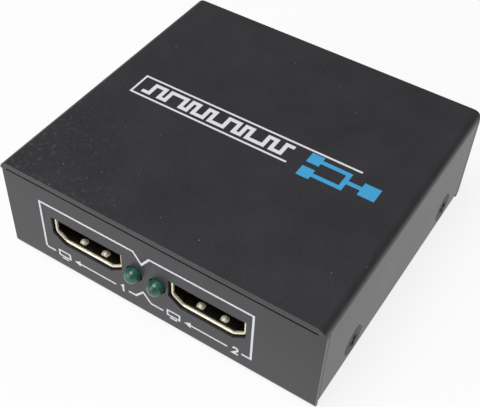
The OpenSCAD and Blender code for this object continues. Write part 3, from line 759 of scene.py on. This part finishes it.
def front_frame(width, depth):
    """Two frames that share a notched line between them, open where the labels stand."""
    left_gap, right_gap = LABEL_GAPS
    notch_left, notch_right = NOTCH_MIDDLE - NOTCH_HALF, NOTCH_MIDDLE + NOTCH_HALF
    upper = [(left_gap[0], FRAME_FOOT),
             (FRAME_LEFT + FRAME_CHAMFER, FRAME_FOOT), (FRAME_LEFT, FRAME_FOOT + FRAME_CHAMFER),
             (FRAME_LEFT, FRAME_TOP), (notch_left, FRAME_TOP),
             (NOTCH_MIDDLE, FRAME_TOP - NOTCH_DROP),
             (notch_right, FRAME_TOP), (FRAME_RIGHT, FRAME_TOP),
             (FRAME_RIGHT, FRAME_FOOT), (right_gap[1], FRAME_FOOT)]
    lower = [(left_gap[1], FRAME_FOOT), (notch_left, FRAME_FOOT),
             (NOTCH_MIDDLE, FRAME_FOOT + NOTCH_RISE),
             (notch_right, FRAME_FOOT), (right_gap[0], FRAME_FOOT)]
    return [ribbon(upper, width, depth), ribbon(lower, width, depth)]


# Rear print: the arrow over the input, and the polarity sign under the jack, with its two outer signs
INPUT_ARROW_RISE, INPUT_ARROW_HALF = 2.5, 1.6
POLARITY_LEVEL, POLARITY_REACH = 5.0, 3.3
CENTRE_RING, CENTRE_DOT = 0.75, 0.34
SIGN_RING, SIGN_HALF, SIGN_WEIGHT = 0.85, 0.5, 0.8


def rear_marks(width, depth):
    """An arrow into the input, and the usual sign of a jack whose centre is positive."""
    input_u, jack_u = (-node_middle(name).x / MM for name in ("input_shell", "jack_housing"))
    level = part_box("input_shell")[1].z / MM + INPUT_ARROW_RISE
    shapes = arrow((input_u - INPUT_ARROW_HALF, level), (input_u + INPUT_ARROW_HALF, level), width, depth)
    foot = POLARITY_LEVEL
    thin = width * SIGN_WEIGHT
    shapes += [ribbon(circle((jack_u, foot), CENTRE_RING), width, depth, closed=True),
               prism(circle((jack_u, foot), CENTRE_DOT), depth)]
    for side in (-1, 1):
        sign_u = jack_u + side * POLARITY_REACH
        link = [(jack_u + side * CENTRE_RING, foot), (sign_u - side * SIGN_RING, foot)]
        shapes += [ribbon(circle((sign_u, foot), SIGN_RING), thin, depth, closed=True),
                   ribbon([(sign_u - SIGN_HALF, foot), (sign_u + SIGN_HALF, foot)], thin, depth),
                   ribbon(link, thin, depth)]
    plus_u = jack_u + POLARITY_REACH
    shapes.append(ribbon([(plus_u, foot - SIGN_HALF), (plus_u, foot + SIGN_HALF)], thin, depth))
    return shapes


# Cover's print: along the case, and towards its back
BAND_LEFT, BAND_LONG, BAND_SHORT = -25.0, 20.9, 8.6
BAND_BACK, BAND_FRONT = 2.85, -2.3
WAVE_START, WAVE_HIGH, WAVE_LOW = -23.4, 1.55, -1.0
WAVE_STEPS = (1.6, 2.2, 1.4, 3.4, 1.4, 1.4, 2.2, 1.4, 3.0, 2.2, 1.4, 1.4, 3.4, 1.6, 2.0, 1.6)
TREE_ROOT, TREE_TRUNK, TREE_LEAF = 24.0, 19.3, 12.6
TREE_LEVEL, TREE_SPREAD = -0.75, 1.85
ROOT_SIDE, LEAF_SIDE = 3.2, 2.5


def band_lines():
    """Path of the lines round the wave: a long one behind it, its left end and a short one before it."""
    return [(BAND_LONG, BAND_BACK), (BAND_LEFT, BAND_BACK),
            (BAND_LEFT, BAND_FRONT), (BAND_SHORT, BAND_FRONT)]


def square_wave():
    """Path of a pulse train: level stretches of the given lengths that change sides at each step."""
    ends = WAVE_START + np.cumsum((0, *WAVE_STEPS))
    levels = np.where(np.arange(len(WAVE_STEPS)) % 2, WAVE_HIGH, WAVE_LOW)
    along = np.c_[ends[:-1], ends[1:]].reshape(-1)
    return np.c_[along, np.repeat(levels, 2)]


def tree_sign(width, depth):
    """One block joined to two by square-cornered lines: one source that feeds two screens."""
    low, high = TREE_LEVEL - TREE_SPREAD, TREE_LEVEL + TREE_SPREAD
    inner = TREE_LEAF + LEAF_SIDE / 2
    stem = [(TREE_ROOT - ROOT_SIDE / 2, TREE_LEVEL), (TREE_TRUNK, TREE_LEVEL)]
    fork = [(inner, low), (TREE_TRUNK, low), (TREE_TRUNK, high), (inner, high)]
    leaves = [prism(square((TREE_LEAF, level), LEAF_SIDE), depth) for level in (low, high)]
    return [prism(square((TREE_ROOT, TREE_LEVEL), ROOT_SIDE), depth),
            ribbon(stem, width, depth), ribbon(fork, width, depth), *leaves]


# Operators


class SPLITTER_OT_case(bpy.types.Operator):
    """Gives the cover and the tray rounded edges and a powder coat"""

    bl_idname = "splitter.case"
    bl_label = "Coated case"

    def execute(self, context):
        looks = context.scene.splitter
        coat = powder_coat("powder_coat", looks.colours)
        for node in ("top_cover", "bottom_tray"):
            dressed(node, coat, looks.sizes.case_edge)
        return {"FINISHED"}


class SPLITTER_OT_screws(bpy.types.Operator):
    """Blackens the cover screws and rounds their edges"""

    bl_idname = "splitter.screws"
    bl_label = "Cover screws"

    def execute(self, context):
        looks = context.scene.splitter
        steel = blackened_steel("blackened_steel", looks.colours.screw)
        for place in COVER_SCREWS:
            dressed("cover_screw_" + place, steel, looks.sizes.screw_edge)
        return {"FINISHED"}


class SPLITTER_OT_sockets(bpy.types.Operator):
    """Plates the socket shells and contacts, and gives the insulators their plastic"""

    bl_idname = "splitter.sockets"
    bl_label = "Video sockets"

    def execute(self, context):
        looks = context.scene.splitter
        plastic = moulded_plastic("socket_plastic", looks.colours.socket_plastic)
        gilt = plated_metal("gilt_contact", looks.colours.contact, rough=0.18, wear=0.08)
        for socket in SOCKETS:
            plate = shell_plate(socket + "_plate", looks.colours.shell, node_middle(socket + "_shell").x)
            dressed(socket + "_shell", plate, looks.sizes.shell_edge)
            rolled_rim(socket, plate, looks.sizes.rim_width / MM, looks.sizes.rim_rise / MM)
            dressed(socket + "_insulator", plastic, looks.sizes.shell_edge)
            paint(socket + "_contacts", gilt)
        return {"FINISHED"}


class SPLITTER_OT_lights(bpy.types.Operator):
    """Gives the lights their tinted resin and tinned wires"""

    bl_idname = "splitter.lights"
    bl_label = "Lights"

    def execute(self, context):
        looks = context.scene.splitter
        green = tinted_resin("green_resin", looks.colours.green_lens)
        red = tinted_resin("red_resin", looks.colours.red_lens)
        tin = plated_metal("tinned_wire", looks.colours.tin)
        for light in (*FRONT_LIGHTS, "power"):
            resin = green if light in FRONT_LIGHTS else red
            dressed(light + "_light_lens", resin, looks.sizes.shell_edge)
            paint(light + "_light_wires", tin)
        return {"FINISHED"}


class SPLITTER_OT_jack(bpy.types.Operator):
    """Gives the power jack its plastic, pin and spring"""

    bl_idname = "splitter.jack"
    bl_label = "Power jack"

    def execute(self, context):
        looks = context.scene.splitter
        plastic = moulded_plastic("jack_plastic", looks.colours.socket_plastic, rough=0.4)
        dressed("jack_housing", plastic, looks.sizes.plastic_edge)
        pin_plate = plated_metal("jack_pin_plate", looks.colours.tin, rough=0.2)
        dressed("jack_centre_pin", pin_plate, looks.sizes.shell_edge)
        spring = plated_metal("spring_bronze", looks.colours.contact, rough=0.3)
        for node in ("jack_leaf_spring", "jack_spring_terminal"):
            paint(node, spring)
        return {"FINISHED"}


class SPLITTER_OT_board(bpy.types.Operator):
    """Finishes the circuit board and everything that stands on it"""

    bl_idname = "splitter.board"
    bl_label = "Circuit board"

    def execute(self, context):
        colours = context.scene.splitter.colours
        finishes = {
            board_mask("solder_mask", colours.board): ("circuit_board",),
            plated_metal("turned_brass", colours.brass, rough=0.3): ("board_standoffs",),
            plated_metal("board_tin", colours.tin): (
                "board_screws", "splitter_chip_leads", "memory_chip_leads", "voltage_regulator_leads",
                "crystal", "capacitor_cans"),
            moulded_plastic("chip_compound", colours.compound, rough=0.5): (
                "splitter_chip", "memory_chip", "voltage_regulator", "capacitor_bases", "chip_resistors"),
            moulded_plastic("grey_ferrite", colours.ferrite, rough=0.6): ("power_inductor",),
            moulded_plastic("tan_ceramic", colours.ceramic, rough=0.5): ("chip_capacitors",),
        }
        for material, nodes in finishes.items():
            for node in nodes:
                paint(node, material)
        return {"FINISHED"}


class SPLITTER_OT_prints(bpy.types.Operator):
    """Prints the frames and marks on the panels, and the wave and tree on the cover"""

    bl_idname = "splitter.prints"
    bl_label = "Prints"

    def execute(self, context):
        looks = context.scene.splitter
        sizes = looks.sizes
        depth, line, mark = sizes.ink_depth / MM, sizes.line_width / MM, sizes.mark_width / MM
        white = ink("white_ink", looks.colours.white_ink)
        blue = ink("blue_ink", looks.colours.blue_ink)
        labels = [shape for gap, number in zip(LABEL_GAPS, (number_one, number_two))
                  for shape in output_label(gap, number, mark, depth)]
        wave = ribbon(square_wave(), sizes.wave_width / MM, depth)
        printed("front_frame_print", FRONT_SHEET, front_frame(line, depth), white)
        printed("front_label_print", FRONT_SHEET, labels, white)
        printed("rear_mark_print", REAR_SHEET, rear_marks(mark, depth), white)
        printed("cover_band_print", TOP_SHEET, [ribbon(band_lines(), line, depth)], white)
        printed("cover_wave_print", TOP_SHEET, [wave], white)
        printed("cover_tree_print", TOP_SHEET, tree_sign(sizes.tree_width / MM, depth), blue)
        return {"FINISHED"}


# Stage: place of the camera and lamps in metres
CAMERA_PLACE = Vector((0.05853, -0.10232, 0.12798))
CAMERA_AIM = Vector((0.00235, -0.00661, 0.011))
CAMERA_ROLL = np.radians(3.04)
CAMERA_LENS, CAMERA_SENSOR = 66.74, 36.0
CAMERA_NEAR = 0.01
FLOOR_SIZE = 6.0
# How white the floor looks by itself, beside the light that falls on it
FLOOR_GLOW = 0.85
# Name, place, width, strength in watts and colour of each lamp
LAMPS = (
    ("overhead_lamp", (-0.12, -0.22, 0.80), 0.50, 5.6, (1.0, 0.985, 0.97)),
    ("front_lamp", (-0.35, -0.68, 0.30), 0.60, 2.7, (0.92, 0.95, 1.0)),
)
ROOM_LIGHT = 0.15
WHITE = (1.0, 1.0, 1.0)


def seen_directly(finish):
    """1 for rays from the camera, off shiny surfaces or through clear ones, and 0 for the rest."""
    rays = [finish.node("LightPath", output=name)
            for name in ("Is Camera Ray", "Is Glossy Ray", "Is Transmission Ray")]
    return rays[0].larger(rays[1]).larger(rays[2])


def turned_to(place, aim):
    """Turn of a lamp or camera at a place that looks at an aim, upright."""
    return (aim - place).to_track_quat("-Z", "Y")


class SPLITTER_OT_stage(bpy.types.Operator):
    """Sets the white floor, the room light, the lamps and the camera"""

    bl_idname = "splitter.stage"
    bl_label = "Stage"

    def execute(self, context):
        scene = context.scene
        scene.view_settings.view_transform = "Standard"
        self.floor(scene)
        self.room(scene)
        for name, place, width, watts, colour in LAMPS:
            self.lamp(scene, name, Vector(place), width, watts, colour)
        self.camera(scene)
        return {"FINISHED"}

    def floor(self, scene):
        """A wide white floor that still takes the box's shadow."""
        mesh = bpy.data.meshes.new("studio_floor")
        corners = np.c_[square((0, 0), FLOOR_SIZE), np.full(4, CAD_BOX[0].z)]
        mesh.from_pydata(corners.tolist(), [], [(0, 1, 2, 3)])
        finish = new_finish("studio_floor")
        matt = finish.node("BsdfDiffuse", {"Color": scene.splitter.colours.floor})
        glow = finish.node("Emission", {"Color": WHITE, "Strength": 1.0})
        mixed = finish.node("MixShader", {0: seen_directly(finish) * FLOOR_GLOW, 1: matt, 2: glow})
        finish.node("OutputMaterial", {"Surface": mixed})
        mesh.materials.append(finish.owner)
        new_object(mesh)

    def room(self, scene):
        """White behind the box as the camera sees it, and soft grey light from everywhere else."""
        scene.world = bpy.data.worlds.new("studio_room")
        finish = Finish(scene.world)
        white = finish.node("LightPath", output="Is Camera Ray")
        strength = white * (1 - ROOM_LIGHT) + ROOM_LIGHT
        light = finish.node("Background", {"Color": WHITE, "Strength": strength})
        finish.node("OutputWorld", {"Surface": light})

    def lamp(self, scene, name, place, width, watts, colour):
        """A square soft lamp turned to the box."""
        data = bpy.data.lights.new(name, "AREA")
        data.size = width
        data.energy = watts
        data.color = colour
        lamp = bpy.data.objects.new(name, data)
        lamp.location = place
        lamp.rotation_euler = turned_to(place, CAD_MIDDLE).to_euler()
        scene.collection.objects.link(lamp)

    def camera(self, scene):
        """A camera at the photograph's viewing angle, rolled a little about its own axis."""
        data = bpy.data.cameras.new("camera")
        data.lens = CAMERA_LENS
        data.sensor_width = CAMERA_SENSOR
        data.clip_start = CAMERA_NEAR
        camera = bpy.data.objects.new("camera", data)
        level = turned_to(CAMERA_PLACE, CAMERA_AIM).to_matrix().to_4x4()
        camera.matrix_world = Matrix.Translation(CAMERA_PLACE) @ level @ Matrix.Rotation(CAMERA_ROLL, 4, "Z")
        scene.collection.objects.link(camera)
        scene.camera = camera


STEPS = (
    SPLITTER_OT_case, SPLITTER_OT_screws, SPLITTER_OT_sockets, SPLITTER_OT_lights,
    SPLITTER_OT_jack, SPLITTER_OT_board, SPLITTER_OT_prints, SPLITTER_OT_stage,
)


class SPLITTER_PT_panel(bpy.types.Panel):
    """Lists the steps that dress the splitter box"""

    bl_idname = "SPLITTER_PT_panel"
    bl_label = "Splitter Box"
    bl_space_type = "VIEW_3D"
    bl_region_type = "UI"
    bl_category = "Splitter"

    def draw(self, context):
        for step in STEPS:
            self.layout.operator(step.bl_idname)
        for group in (context.scene.splitter.sizes, context.scene.splitter.colours):
            for name in group.__annotations__:
                self.layout.prop(group, name)


CLASSES = (SplitterSizes, SplitterColours, SplitterLooks, *STEPS, SPLITTER_PT_panel)


def register():
    """Registers the classes and the scene's settings."""
    for made in CLASSES:
        bpy.utils.register_class(made)
    bpy.types.Scene.splitter = PointerProperty(type=SplitterLooks)


def unregister():
    """Takes the settings and the classes away again."""
    del bpy.types.Scene.splitter
    for made in reversed(CLASSES):
        bpy.utils.unregister_class(made)


def main():
    """Registers the add-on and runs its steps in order."""
    register()
    for step in STEPS:
        family, name = step.bl_idname.split(".")
        getattr(getattr(bpy.ops, family), name)()


if __name__ == "__main__":
    main()
